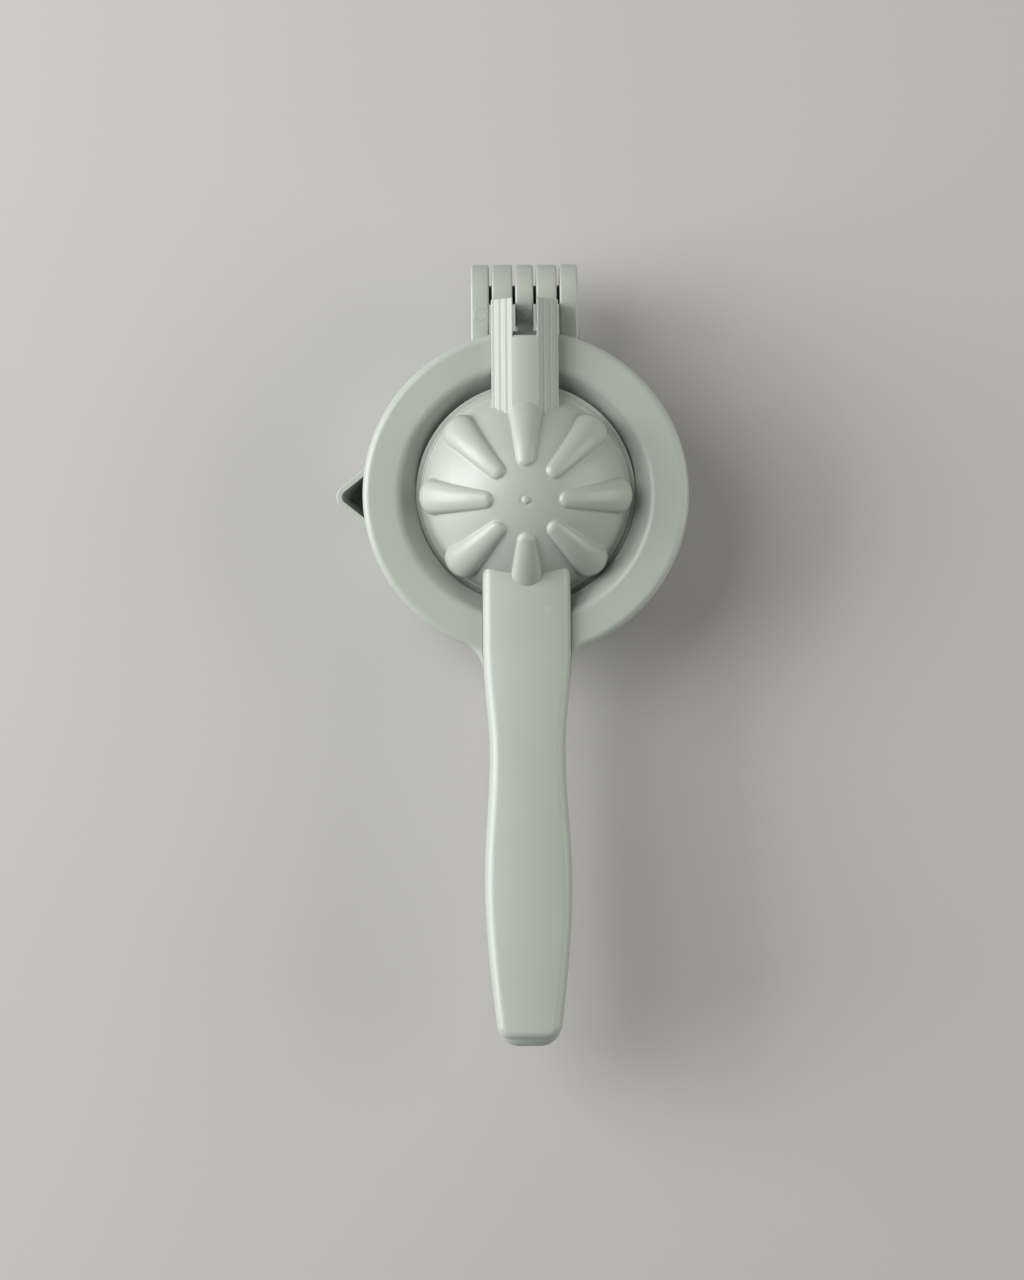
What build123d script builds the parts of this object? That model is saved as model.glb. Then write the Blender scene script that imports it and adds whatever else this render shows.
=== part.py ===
"""Two-handled lemon squeezer of moulded plastic, closed and standing on its juice cup.

Frame: origin at the centre of the cup's foot on the table, +Z up, +Y towards the hinge,
-X towards the pouring lip.
"""

import os
from math import acos, asin, atan2, cos, pi, radians, sin, sqrt, tan

from build123d import *

# Ring, skirt and funnel of the lower arm. Depth shares are of the skirt's height
ring_outer_r = 45.0
ring_width = 9.7
ring_edge_r = 2.0
skirt_bottom_z = 20.0
skirt_height = 16.0
wall = 2.4
funnel_edge_r = 1.8
funnel_run = 4.9
funnel_depth_share = 0.3
throat_depth_share = 0.45
ledge_reach = 2.8
ledge_thick = 2.0

# Hinge: three lugs on the lower arm, two knuckles on the upper arm, one pin
hinge_reach = 11.0
hinge_rise = 2.0
lug_r = 8.4
lug_width = 5.0
lug_edge_r = 0.6
lug_flare_r = 2.5
knuckle_width = 5.7
hinge_gap = 0.8
leg_clearance = 1.2
leg_inside_r = 1.2
pin_d = 5.2
pin_chamfer = 0.4
press_clearance = 0.01
running_clearance = 0.06

# Handles, seen from above: half widths, and how far each station lies beyond the ring
root_half = 12.2
waist_half = 10.45
belly_half = 11.9
tip_half = 8.5
bend_inset = 2.0
waist_reach = 22.3
belly_reach = 57.4
tip_reach = 104.2
tip_corner_r = 4.0
tip_taper = 7.0
lower_grow = 0.1
lower_overhang = 3.1
neck_flare_r = 8.0
rib_thick = 1.6
rib_count = 5

# Upper handle, seen from the side
arm_clearance = 0.6
arm_thick = 3.6
grip_rise = 4.0
grip_belly_rise = 1.8
grip_bend_r = 60.0
crown_r = 80.0
grip_edge_r = 2.0

# Lower handle, seen from the side
lower_root_depth = 12.0
lower_tip_depth = 9.5

# Press cap: a fluted spherical cap, tilted down towards the handle. Its sink is a share of the
# skirt's height, the other shares are of its rim radius
cap_sink_share = 0.3125
cap_gap = 1.6
cap_tilt = 7.0
cap_height_share = 0.6944
flute_count = 8
flute_half_shares = (0.066, 0.177)
flute_reach_shares = (0.326, 0.889)
flute_raise_shares = (0.042, 0.08)
flute_stations = 4
flute_wall = 1.9
groove_inner_half = 0.9
flange_reach = 0.7
flange_thick = 1.2
gate_r = 1.2
gate_height = 0.4

# Hinge beam and its two legs
beam_rise = 4.4
beam_overhang = 0.2
beam_rail_flat = 0.5
beam_crown = 0.5
beam_steps = 3
beam_tread_share = 0.66
beam_tread_fall = 0.4
beam_riser_fall = 1.0
beam_setback = 2.8
notch_inset = 2.0
notch_corner_r = 1.0

# Strainer with its reamer
strainer_clearance = 0.3
strainer_thick = 1.8
reamer_base_share = 0.4605
reamer_height = 13.0
reamer_tip_r = 4.0
reamer_wall = 1.8
reamer_rib_count = 8
reamer_rib_thick = 1.6
reamer_rib_raise = 1.2
rib_turn_share = 0.5
slot_count = 24
slot_width = 1.8
slot_inset = 3.5
slot_margin = 4.1

# Juice cup: insets are from the ring's edge, level shares are of the shoulder's height
foot_inset = 9.0
foot_edge_r = 1.2
cup_wall = 1.8
cup_floor = 2.2
belly_inset = 2.8
belly_level_share = 0.45
collar_clearance = 0.3
collar_height = 5.0

# Pouring lip of the juice cup and the channel in it, at three levels from its foot to its rim.
# Reaches are from the ring's edge, level shares are of the shoulder's height
lip_level_shares = (0.15, 0.45, 1.0)
lip_nose_reaches = (-6.2, 5.6, 10.2)
lip_root_reaches = (-9.0, -4.0, -1.5)
lip_halves = (2.0, 7.7, 9.3)
lip_nose_radii = (0.7, 2.6, 3.6)
channel_level_shares = (0.29, 0.53, 1.0)
channel_nose_reaches = (-4.8, 2.6, 7.8)
channel_knee_reaches = (-6.3, -3.4, 1.0)
channel_halves = (1.4, 4.8, 5.4)
channel_nose_radii = (0.5, 1.2, 2.0)
channel_root_reach = -6.5

# Working values of the lower arm and the hinge
overrun = 2.0
ring_top_z = skirt_bottom_z + skirt_height
skirt_inner_r = ring_outer_r - wall
funnel_top_r = ring_outer_r - ring_width
throat_r = funnel_top_r - funnel_run
throat_z = ring_top_z - skirt_height * funnel_depth_share
ledge_z = throat_z - skirt_height * throat_depth_share
hinge_y = ring_outer_r + hinge_reach
hinge_z = skirt_bottom_z + hinge_rise
knuckle_inner_x = lug_width / 2 + hinge_gap
knuckle_outer_x = knuckle_inner_x + knuckle_width
lug_inner_x = knuckle_outer_x + hinge_gap
lug_outer_x = lug_inner_x + lug_width

# Working values of the handles
bend_y = bend_inset - ring_outer_r
waist_y = -ring_outer_r - waist_reach
belly_y = -ring_outer_r - belly_reach
tip_y = -ring_outer_r - tip_reach
lower_tip_y = tip_y - lower_overhang
arm_under_z = ring_top_z + arm_clearance
arm_top_z = arm_under_z + arm_thick
grip_tip_z = arm_top_z + (bend_y - tip_y) * tan(radians(grip_rise))
crown_half = root_half + overrun
crown_fall = crown_r - sqrt(crown_r**2 - crown_half**2)
upward_share = 0.7

# Working values of the press cap and the hinge beam
cap_z = ring_top_z - skirt_height * cap_sink_share
cap_rim_r = throat_r - cap_gap
cap_height = cap_rim_r * cap_height_share
cap_r = (cap_height**2 + cap_rim_r**2) / (2 * cap_height)
cap_centre_z = cap_height - cap_r
cap_location = Plane((0, 0, cap_z)).rotated((cap_tilt, 0, 0)).location
flute_halves = [cap_rim_r * share for share in flute_half_shares]
flute_raises = [cap_rim_r * share for share in flute_raise_shares]
flute_angles = [asin(cap_rim_r * share / cap_r) for share in flute_reach_shares]
beam_top_z = arm_top_z + beam_rise
beam_half = knuckle_outer_x + beam_overhang
beam_flat_half = knuckle_inner_x + beam_rail_flat
beam_front_y = hinge_y - beam_setback
notch_end_y = ring_outer_r - notch_inset
leg_back_y = ring_outer_r + leg_clearance

# Working values of the strainer and the juice cup
strainer_r = throat_r - strainer_clearance
strainer_top_z = ledge_z + strainer_thick
reamer_base_r = throat_r * reamer_base_share
reamer_top_z = strainer_top_z + reamer_height
slot_inner_r = reamer_base_r + slot_inset
slot_outer_r = strainer_r - slot_margin
foot_r = ring_outer_r - foot_inset
belly_r = ring_outer_r - belly_inset
belly_z = skirt_bottom_z * belly_level_share
collar_r = skirt_inner_r - collar_clearance
collar_inner_r = collar_r - cup_wall
collar_top_z = skirt_bottom_z + collar_height


def grip_outline(grow, root_y, end_y):
    """Draw a handle's closed outline, with the half widths grown or drawn in alike."""
    side = [
        (root_half + grow, bend_y),
        (waist_half + grow, waist_y),
        (belly_half + grow, belly_y),
        (tip_half + grow, end_y),
    ]
    tip_slope = tan(radians(tip_taper))
    for hand in (1, -1):
        Line((hand * side[0][0], root_y), (hand * side[0][0], bend_y))
        Spline(*[(hand * x, y) for x, y in side], tangents=[(0, -1), (-hand * tip_slope, -1)])
    Line((-side[3][0], end_y), (side[3][0], end_y))
    Line((-side[0][0], root_y), (side[0][0], root_y))


def rib_places(start_y, end_y):
    """Places of the cross ribs under a handle, evenly spaced between its two ends."""
    pitch = (end_y - start_y) / (rib_count + 1)
    return [(0, start_y + pitch * (i + 1)) for i in range(rib_count)]


def flute(sphere_r, halves, raises):
    """A drop along a sphere of the cap, half sunk in it, narrow near the crown and round at both ends."""
    stations = []
    for i in range(flute_stations):
        share = i / (flute_stations - 1)
        half = halves[0] + (halves[1] - halves[0]) * share
        crest = raises[0] + (raises[1] - raises[0]) * share
        angle = flute_angles[0] + (flute_angles[1] - flute_angles[0]) * share
        centre = (sphere_r * sin(angle), 0, cap_centre_z + sphere_r * cos(angle))
        level = Plane(centre, x_dir=(0, 1, 0), z_dir=(cos(angle), 0, -sin(angle)))
        stations.append((level, half, crest))
    with BuildPart() as drop:
        for level, half, crest in stations:
            with BuildSketch(level):
                Ellipse(half, crest)
        loft()
        for level, half, crest, turn in ((*stations[0], 180), (*stations[-1], -180)):
            with BuildSketch(level):
                Ellipse(half, crest)
                Rectangle(2 * half, 4 * crest, align=(Align.MIN, Align.CENTER), mode=Mode.INTERSECT)
            revolve(axis=Axis(level.origin, level.y_dir), revolution_arc=turn)
    return drop.part


# One hinge lug of the lower arm, rounded along its edges
with BuildPart() as lug:
    with BuildSketch(Plane.YZ):
        with Locations((hinge_y, hinge_z)):
            Circle(lug_r)
        with BuildLine():
            Polyline(
                (hinge_y, hinge_z + lug_r),
                (throat_r, hinge_z + lug_r),
                (throat_r, skirt_bottom_z),
                (ring_outer_r, skirt_bottom_z),
                (hinge_y, hinge_z - lug_r),
                close=True,
            )
        make_face()
    extrude(amount=lug_width / 2, both=True)
    fillet(lug.faces().filter_by(Axis.X).edges(), lug_edge_r)

# Centres of the arcs that flare the outer lugs into the ring, each touching lug and ring
flare_x = lug_outer_x + lug_flare_r
flare_y = sqrt((ring_outer_r + lug_flare_r) ** 2 - flare_x**2)
flare_share = ring_outer_r / (ring_outer_r + lug_flare_r)

# Lower arm: ring with skirt and funnel, hinge lugs and lower handle
with BuildPart() as lower_arm:
    with BuildSketch(Plane.XY.offset(skirt_bottom_z)):
        Circle(ring_outer_r)
        with BuildLine():
            grip_outline(lower_grow, 0, lower_tip_y)
        make_face()
    extrude(amount=ring_top_z - skirt_bottom_z)
    upright = lower_arm.edges().filter_by(Axis.Z)
    fillet(upright.group_by(Axis.Y)[0], tip_corner_r)
    upright = lower_arm.edges().filter_by(Axis.Z)
    neck = upright.filter_by_position(Axis.Y, bend_y - neck_flare_r, bend_y + neck_flare_r)
    fillet(neck, neck_flare_r)
    with BuildSketch(Plane.YZ):
        with BuildLine():
            Polyline(
                (-ring_outer_r, ring_top_z - lower_root_depth),
                (lower_tip_y - overrun, ring_top_z - lower_tip_depth),
                (lower_tip_y - overrun, skirt_bottom_z - overrun),
                (-ring_outer_r, skirt_bottom_z - overrun),
                close=True,
            )
        make_face()
    extrude(amount=ring_outer_r, both=True, mode=Mode.SUBTRACT)
    fillet(lower_arm.faces().sort_by(Axis.Z)[-1].outer_wire().edges(), ring_edge_r)
    lug_pitch = lug_inner_x + lug_width / 2
    with Locations((-lug_pitch, 0, 0), (0, 0, 0), (lug_pitch, 0, 0)):
        add(lug.part)
    with BuildSketch(Plane.XY.offset(skirt_bottom_z)):
        for hand in (1, -1):
            with BuildLine():
                Polyline(
                    (hand * lug_inner_x, flare_y),
                    (hand * flare_x, flare_y),
                    (hand * flare_x * flare_share, flare_y * flare_share),
                    (hand * lug_inner_x, flare_y * flare_share),
                    close=True,
                )
            make_face()
        with Locations((-flare_x, flare_y), (flare_x, flare_y)):
            Circle(lug_flare_r, mode=Mode.SUBTRACT)
    extrude(amount=hinge_rise + lug_r - lug_edge_r)
    with BuildSketch(Plane.XZ):
        with BuildLine():
            plate_z = ring_top_z - wall
            funnel_slope = (funnel_top_r - throat_r) / (ring_top_z - throat_z)
            Polyline(
                (0, ring_top_z),
                (funnel_top_r, ring_top_z),
                (throat_r, throat_z),
                (throat_r, ledge_z),
                (throat_r - ledge_reach, ledge_z),
                (throat_r - ledge_reach, ledge_z - ledge_thick),
                (throat_r + wall, ledge_z - ledge_thick),
                (throat_r + wall, throat_z),
                (throat_r + wall + funnel_slope * (plate_z - throat_z), plate_z),
                (skirt_inner_r, plate_z),
                (skirt_inner_r, skirt_bottom_z),
                (0, skirt_bottom_z),
                close=True,
            )
        make_face()
    revolve(axis=Axis.Z, mode=Mode.SUBTRACT)
    with BuildSketch(Plane.XY.offset(skirt_bottom_z)) as lower_bays:
        with BuildLine():
            grip_outline(lower_grow - wall, bend_y + overrun, lower_tip_y + wall)
        make_face()
        Circle(ring_outer_r + wall, mode=Mode.SUBTRACT)
        with Locations(*rib_places(-ring_outer_r, lower_tip_y)):
            Rectangle(ring_outer_r, rib_thick, mode=Mode.SUBTRACT)
    extrude(amount=ring_top_z - wall - skirt_bottom_z, mode=Mode.SUBTRACT)
    with BuildSketch(Plane.YZ):
        with Locations((hinge_y, hinge_z)):
            Circle(pin_d / 2 + press_clearance)
    extrude(amount=lug_outer_x, both=True, mode=Mode.SUBTRACT)
    mouth = lower_arm.edges().filter_by(GeomType.CIRCLE).group_by(Axis.Z)[-1]
    fillet(mouth.filter_by(lambda edge: abs(edge.radius - funnel_top_r) < funnel_edge_r), funnel_edge_r)
lower_arm.part.label = "lower_arm"

# Press cap in its own frame: fluted spherical cap on a thin flange, solid until the hollow is cut
cap_flute = flute(cap_r, flute_halves, flute_raises)
with BuildPart() as press_cap:
    with BuildSketch(Plane.XZ):
        with BuildLine():
            rim_angle = acos(-cap_centre_z / cap_r)
            side_point = (cap_r * sin(rim_angle / 2), cap_centre_z + cap_r * cos(rim_angle / 2))
            ThreePointArc((cap_rim_r, 0), side_point, (0, cap_height))
            Polyline((0, cap_height), (0, 0), (cap_rim_r, 0))
        make_face()
    revolve(axis=Axis.Z)
    with PolarLocations(0, flute_count):
        add(cap_flute)
    split(bisect_by=Plane.XY, keep=Keep.TOP)
    Cylinder(cap_rim_r + flange_reach, flange_thick, align=(Align.CENTER, Align.CENTER, Align.MIN))
    with Locations((0, 0, cap_height)):
        Cylinder(gate_r, 2 * gate_height)

# Hollow of the press cap: an even wall, with a groove under each flute
hollow_r = cap_r - wall
hollow_rim_r = sqrt(hollow_r**2 - cap_centre_z**2)
groove_halves = (groove_inner_half, flute_halves[1] - flute_wall)
groove = flute(hollow_r, groove_halves, (groove_inner_half, flute_raises[1]))
with BuildPart() as cap_hollow:
    with BuildSketch(Plane.XZ):
        with BuildLine():
            hollow_angle = acos(-cap_centre_z / hollow_r) / 2
            ThreePointArc(
                (hollow_rim_r, 0),
                (hollow_r * sin(hollow_angle), cap_centre_z + hollow_r * cos(hollow_angle)),
                (0, cap_centre_z + hollow_r),
            )
            Polyline((0, cap_centre_z + hollow_r), (0, -wall), (hollow_rim_r, -wall), (hollow_rim_r, 0))
        make_face()
    revolve(axis=Axis.Z)
    with PolarLocations(0, flute_count):
        add(groove)

# Crowned bar that gives the upper handle its top
crown_depth = grip_tip_z - ring_top_z
with BuildPart() as crown_bar:
    with BuildLine() as crown_path:
        FilletPolyline(
            (0, 0, arm_top_z),
            (0, bend_y, arm_top_z),
            (0, tip_y - overrun, grip_tip_z + overrun * tan(radians(grip_rise))),
            radius=grip_bend_r,
        )
    with BuildSketch(Plane((0, 0, arm_top_z), x_dir=(1, 0, 0), z_dir=(0, -1, 0))):
        with BuildLine():
            ThreePointArc((-crown_half, -crown_fall), (0, 0), (crown_half, -crown_fall))
            Polyline(
                (crown_half, -crown_fall),
                (crown_half, -crown_depth),
                (-crown_half, -crown_depth),
                (-crown_half, -crown_fall),
            )
        make_face()
    sweep(path=crown_path.line)

# Upper handle: outline cut to the crowned bar, with a rising underside
with BuildPart() as grip:
    with BuildSketch(Plane.XY.offset(ring_top_z)):
        with BuildLine():
            grip_outline(0, -cap_rim_r / 2, tip_y)
        make_face()
    extrude(amount=crown_depth + overrun)
    fillet(grip.edges().filter_by(Axis.Z).group_by(Axis.Y)[0], tip_corner_r)
    add(crown_bar.part, mode=Mode.INTERSECT)
    split(bisect_by=Plane.XY.offset(arm_under_z), keep=Keep.TOP)
    belly_plane = Plane((0, bend_y, arm_under_z)).rotated((-grip_belly_rise, 0, 0))
    split(bisect_by=belly_plane, keep=Keep.TOP)
    top_faces = grip.faces().filter_by(lambda face: face.normal_at().Z > upward_share)
    grip_rim = top_faces.edges().filter_by(
        lambda edge: abs(edge.center().X) > tip_half / 2 or edge.center().Y < tip_y + tip_corner_r
    )
    fillet(grip_rim, grip_edge_r)

# Hollow under the upper handle, divided by cross ribs
with BuildPart() as grip_bays:
    with BuildSketch(Plane.XY.offset(ring_top_z)):
        with BuildLine():
            grip_outline(-wall, bend_y + overrun, tip_y + wall)
        make_face()
        Circle(ring_outer_r + wall, mode=Mode.SUBTRACT)
        with Locations(*rib_places(-ring_outer_r, tip_y)):
            Rectangle(ring_outer_r, rib_thick, mode=Mode.SUBTRACT)
    extrude(amount=crown_depth)
    roof = Plane((0, bend_y, arm_top_z - wall - crown_fall)).rotated((-grip_rise, 0, 0))
    split(bisect_by=roof, keep=Keep.BOTTOM)

# Outline of the hinge beam's right half, from its crowned top down three sloping steps
step_width = (beam_half - beam_flat_half) / beam_steps
beam_side = [(beam_flat_half, beam_top_z - beam_crown)]
for _ in range(beam_steps):
    x, z = beam_side[-1]
    beam_side.append((x + step_width * (1 - beam_tread_share), z - beam_riser_fall))
    beam_side.append((x + step_width, z - beam_riser_fall - beam_tread_fall))
beam_foot_z = beam_side[-1][1]

# Point where the leg's slanting back runs tangent into its knuckle
knee_run = hinge_y - leg_back_y
knee_rise = lug_r / 2
touch_angle = pi - atan2(knee_rise, knee_run) + acos(lug_r / sqrt(knee_run**2 + knee_rise**2))
touch_point = (hinge_y + lug_r * cos(touch_angle), hinge_z + lug_r * sin(touch_angle))

# One hinge leg of the upper arm with its knuckle, rounded along its edges
with BuildPart() as leg:
    with BuildSketch(Plane.YZ) as leg_side:
        with Locations((hinge_y, hinge_z)):
            Circle(lug_r)
        with BuildLine():
            Polyline(
                touch_point,
                (leg_back_y, hinge_z + knee_rise),
                (leg_back_y, beam_foot_z),
                (beam_front_y, beam_foot_z),
                (beam_front_y, hinge_z),
                close=True,
            )
        make_face()
        front_line = leg_side.vertices().filter_by_position(
            Axis.X, beam_front_y - lug_edge_r, beam_front_y + lug_edge_r
        )
        fillet(front_line.sort_by(Axis.Y)[0], leg_inside_r)
    extrude(amount=knuckle_width / 2, both=True)
    fillet(leg.faces().filter_by(Axis.X).edges(), lug_edge_r)

# Upper arm: cap, handle, stepped beam, legs and knuckles
with BuildPart() as upper_arm:
    with Locations(cap_location):
        add(press_cap.part)
    add(grip.part)
    with BuildSketch(Plane.XZ.offset(-beam_front_y)):
        with BuildLine():
            ThreePointArc((-beam_flat_half, beam_side[0][1]), (0, beam_top_z), beam_side[0])
            Polyline(
                *beam_side,
                (beam_half, arm_under_z),
                (-beam_half, arm_under_z),
                *[(-x, z) for x, z in reversed(beam_side)],
            )
        make_face()
    extrude(amount=beam_front_y - cap_rim_r / 2)
    with BuildSketch(Plane.XY.offset(arm_under_z)):
        with Locations((0, beam_front_y)):
            RectangleRounded(2 * knuckle_inner_x, 2 * (beam_front_y - notch_end_y), notch_corner_r)
    extrude(amount=beam_top_z - arm_under_z, mode=Mode.SUBTRACT)
    knuckle_pitch = knuckle_inner_x + knuckle_width / 2
    with Locations((-knuckle_pitch, 0, 0), (knuckle_pitch, 0, 0)):
        add(leg.part)
    with BuildSketch(Plane.YZ):
        with Locations((hinge_y, hinge_z)):
            Circle(pin_d / 2 + running_clearance)
    extrude(amount=lug_outer_x, both=True, mode=Mode.SUBTRACT)
    with Locations(cap_location):
        add(cap_hollow.part, mode=Mode.SUBTRACT)
    add(grip_bays.part, mode=Mode.SUBTRACT)
upper_arm.part.label = "upper_arm"

# Hinge pin
with BuildPart() as hinge_pin:
    with BuildSketch(Plane.YZ):
        with Locations((hinge_y, hinge_z)):
            Circle(pin_d / 2)
    extrude(amount=lug_outer_x, both=True)
    chamfer(hinge_pin.edges().filter_by(GeomType.CIRCLE), pin_chamfer)
hinge_pin.part.label = "hinge_pin"

# Strainer: slotted disc with a ribbed, hollow reamer
with BuildPart() as strainer:
    with BuildSketch(Plane.XY.offset(ledge_z)):
        Circle(strainer_r)
        with PolarLocations((slot_inner_r + slot_outer_r) / 2, slot_count):
            SlotOverall(slot_outer_r - slot_inner_r, slot_width, mode=Mode.SUBTRACT)
    extrude(amount=strainer_thick)
    with BuildSketch(Plane.XZ) as reamer_half:
        with BuildLine():
            Polyline(
                (0, ledge_z),
                (reamer_base_r, ledge_z),
                (reamer_base_r, strainer_top_z),
                (reamer_tip_r, reamer_top_z),
                (0, reamer_top_z),
                close=True,
            )
        make_face()
        nose = reamer_half.vertices().filter_by_position(Axis.X, reamer_tip_r, reamer_tip_r)
        fillet(nose, reamer_tip_r)
    revolve(axis=Axis.Z)
    for i in range(reamer_rib_count):
        with BuildSketch(Plane.XZ.rotated((0, 0, 360 / reamer_rib_count * (i + rib_turn_share)))):
            with BuildLine():
                Polyline(
                    (0, strainer_top_z),
                    (reamer_base_r + reamer_rib_raise, strainer_top_z),
                    (reamer_tip_r + reamer_rib_raise, reamer_top_z - reamer_tip_r / 2),
                    (reamer_tip_r / 2, reamer_top_z),
                    (0, reamer_top_z),
                    close=True,
                )
            make_face()
        extrude(amount=reamer_rib_thick / 2, both=True)
    with BuildSketch(Plane.XZ):
        with BuildLine():
            Polyline(
                (0, ledge_z),
                (reamer_base_r - reamer_wall, ledge_z),
                (reamer_base_r - reamer_wall, strainer_top_z),
                (reamer_tip_r - reamer_wall / 2, reamer_top_z - 2 * reamer_wall),
                (0, reamer_top_z - 2 * reamer_wall),
                close=True,
            )
        make_face()
    revolve(axis=Axis.Z, mode=Mode.SUBTRACT)
strainer.part.label = "strainer"

# Juice cup with its collar and pouring lip
with BuildPart() as juice_cup:
    with BuildSketch(Plane.XZ):
        with BuildLine():
            ThreePointArc((foot_r, 0), (belly_r, belly_z), (ring_outer_r, skirt_bottom_z))
            Polyline(
                (ring_outer_r, skirt_bottom_z),
                (collar_r, skirt_bottom_z),
                (collar_r, collar_top_z),
                (0, collar_top_z),
                (0, 0),
                (foot_r, 0),
            )
        make_face()
    revolve(axis=Axis.Z)
    fillet(juice_cup.faces().sort_by(Axis.Z)[0].edges(), foot_edge_r)
    for level_share, nose_reach, root_reach, half, nose_r in zip(
        lip_level_shares, lip_nose_reaches, lip_root_reaches, lip_halves, lip_nose_radii
    ):
        nose_x = -ring_outer_r - nose_reach
        root_x = -ring_outer_r - root_reach
        with BuildSketch(Plane.XY.offset(skirt_bottom_z * level_share)) as lip_level:
            with BuildLine():
                Polyline((root_x, half), (nose_x, 0), (root_x, -half), close=True)
            make_face()
            fillet(lip_level.vertices().sort_by(Axis.X)[0], nose_r)
    loft(ruled=True)
    with BuildSketch(Plane.XZ):
        with BuildLine():
            ThreePointArc(
                (foot_r - cup_wall, cup_floor),
                (belly_r - cup_wall, belly_z),
                (collar_inner_r, skirt_bottom_z),
            )
            Polyline(
                (collar_inner_r, skirt_bottom_z),
                (collar_inner_r, collar_top_z),
                (0, collar_top_z),
                (0, cup_floor),
                (foot_r - cup_wall, cup_floor),
            )
        make_face()
    revolve(axis=Axis.Z, mode=Mode.SUBTRACT)
    root_x = -ring_outer_r - channel_root_reach
    for level_share, nose_reach, knee_reach, half, nose_r in zip(
        channel_level_shares, channel_nose_reaches, channel_knee_reaches, channel_halves, channel_nose_radii
    ):
        nose_x = -ring_outer_r - nose_reach
        knee_x = -ring_outer_r - knee_reach
        with BuildSketch(Plane.XY.offset(skirt_bottom_z * level_share)) as channel_level:
            with BuildLine():
                Polyline(
                    (root_x, half),
                    (knee_x, half),
                    (nose_x, 0),
                    (knee_x, -half),
                    (root_x, -half),
                    close=True,
                )
            make_face()
            fillet(channel_level.vertices().sort_by(Axis.X)[0], nose_r)
    loft(ruled=True, mode=Mode.SUBTRACT)
juice_cup.part.label = "juice_cup"

os.makedirs("parts", exist_ok=True)
for piece in (upper_arm, lower_arm, hinge_pin, strainer, juice_cup):
    export_step(piece.part, f"parts/{piece.part.label}.step")
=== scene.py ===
"""Looks of a two-handled lemon squeezer of sage plastic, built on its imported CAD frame.

Lengths in the classes are millimetres in the CAD frame: origin at the centre of the cup's foot,
+Z up, +Y towards the hinge, -X towards the pouring lip. Materials and studio are in metres.
"""

import logging
from dataclasses import dataclass, field
from enum import Enum
from math import acos, cos, pi, radians, sin, sqrt, tan

import bmesh
import bpy
import numpy as np
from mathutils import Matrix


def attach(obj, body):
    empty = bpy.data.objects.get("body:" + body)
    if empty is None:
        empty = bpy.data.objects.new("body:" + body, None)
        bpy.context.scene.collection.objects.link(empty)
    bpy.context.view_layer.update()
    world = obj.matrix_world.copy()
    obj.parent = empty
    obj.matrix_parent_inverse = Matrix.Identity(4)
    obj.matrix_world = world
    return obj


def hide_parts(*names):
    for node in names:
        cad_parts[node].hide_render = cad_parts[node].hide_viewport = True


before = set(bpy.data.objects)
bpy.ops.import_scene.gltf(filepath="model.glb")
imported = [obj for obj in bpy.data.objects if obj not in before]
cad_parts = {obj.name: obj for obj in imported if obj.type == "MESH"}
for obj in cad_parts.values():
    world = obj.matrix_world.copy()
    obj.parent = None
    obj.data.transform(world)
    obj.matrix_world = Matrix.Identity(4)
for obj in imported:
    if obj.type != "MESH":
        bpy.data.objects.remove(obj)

Array = np.ndarray
Pair = tuple[float, float]
Triple = tuple[float, float, float]
Material = bpy.types.Material
Tree = bpy.types.ShaderNodeTree
Node = bpy.types.Node
Socket = bpy.types.NodeSocket
log = logging.getLogger("squeezer")

MM = 0.001
MERGE = 1e-7
SHARP = radians(40)
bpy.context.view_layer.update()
RANGE_INPUTS = ("Value", "From Min", "From Max", "To Min", "To Max")


class Body(Enum):
    """The two bodies that the hinge joins."""

    FRAME = "frame"
    PRESS = "press"


class Slot(Enum):
    """The record's material slots."""

    PLASTIC = "sage_plastic"
    STEEL = "pin_steel"


@dataclass
class Grid:
    """A grid of points, rows by columns by 3, closed along its rows and at will across them."""

    points: Array
    wrap_rows: bool = False

    def quads(self) -> Array:
        """Number the corners of the grid's faces.

        Returns:
            One row of four numbers per face.
        """
        rows, cols = self.points.shape[:2]
        number = np.arange(rows * cols).reshape(rows, cols)
        number = np.pad(number, ((0, int(self.wrap_rows)), (0, 1)), mode="wrap")
        corners = [number[:-1, :-1], number[:-1, 1:], number[1:, 1:], number[1:, :-1]]
        return np.stack(corners, -1).reshape(-1, 4)


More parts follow.
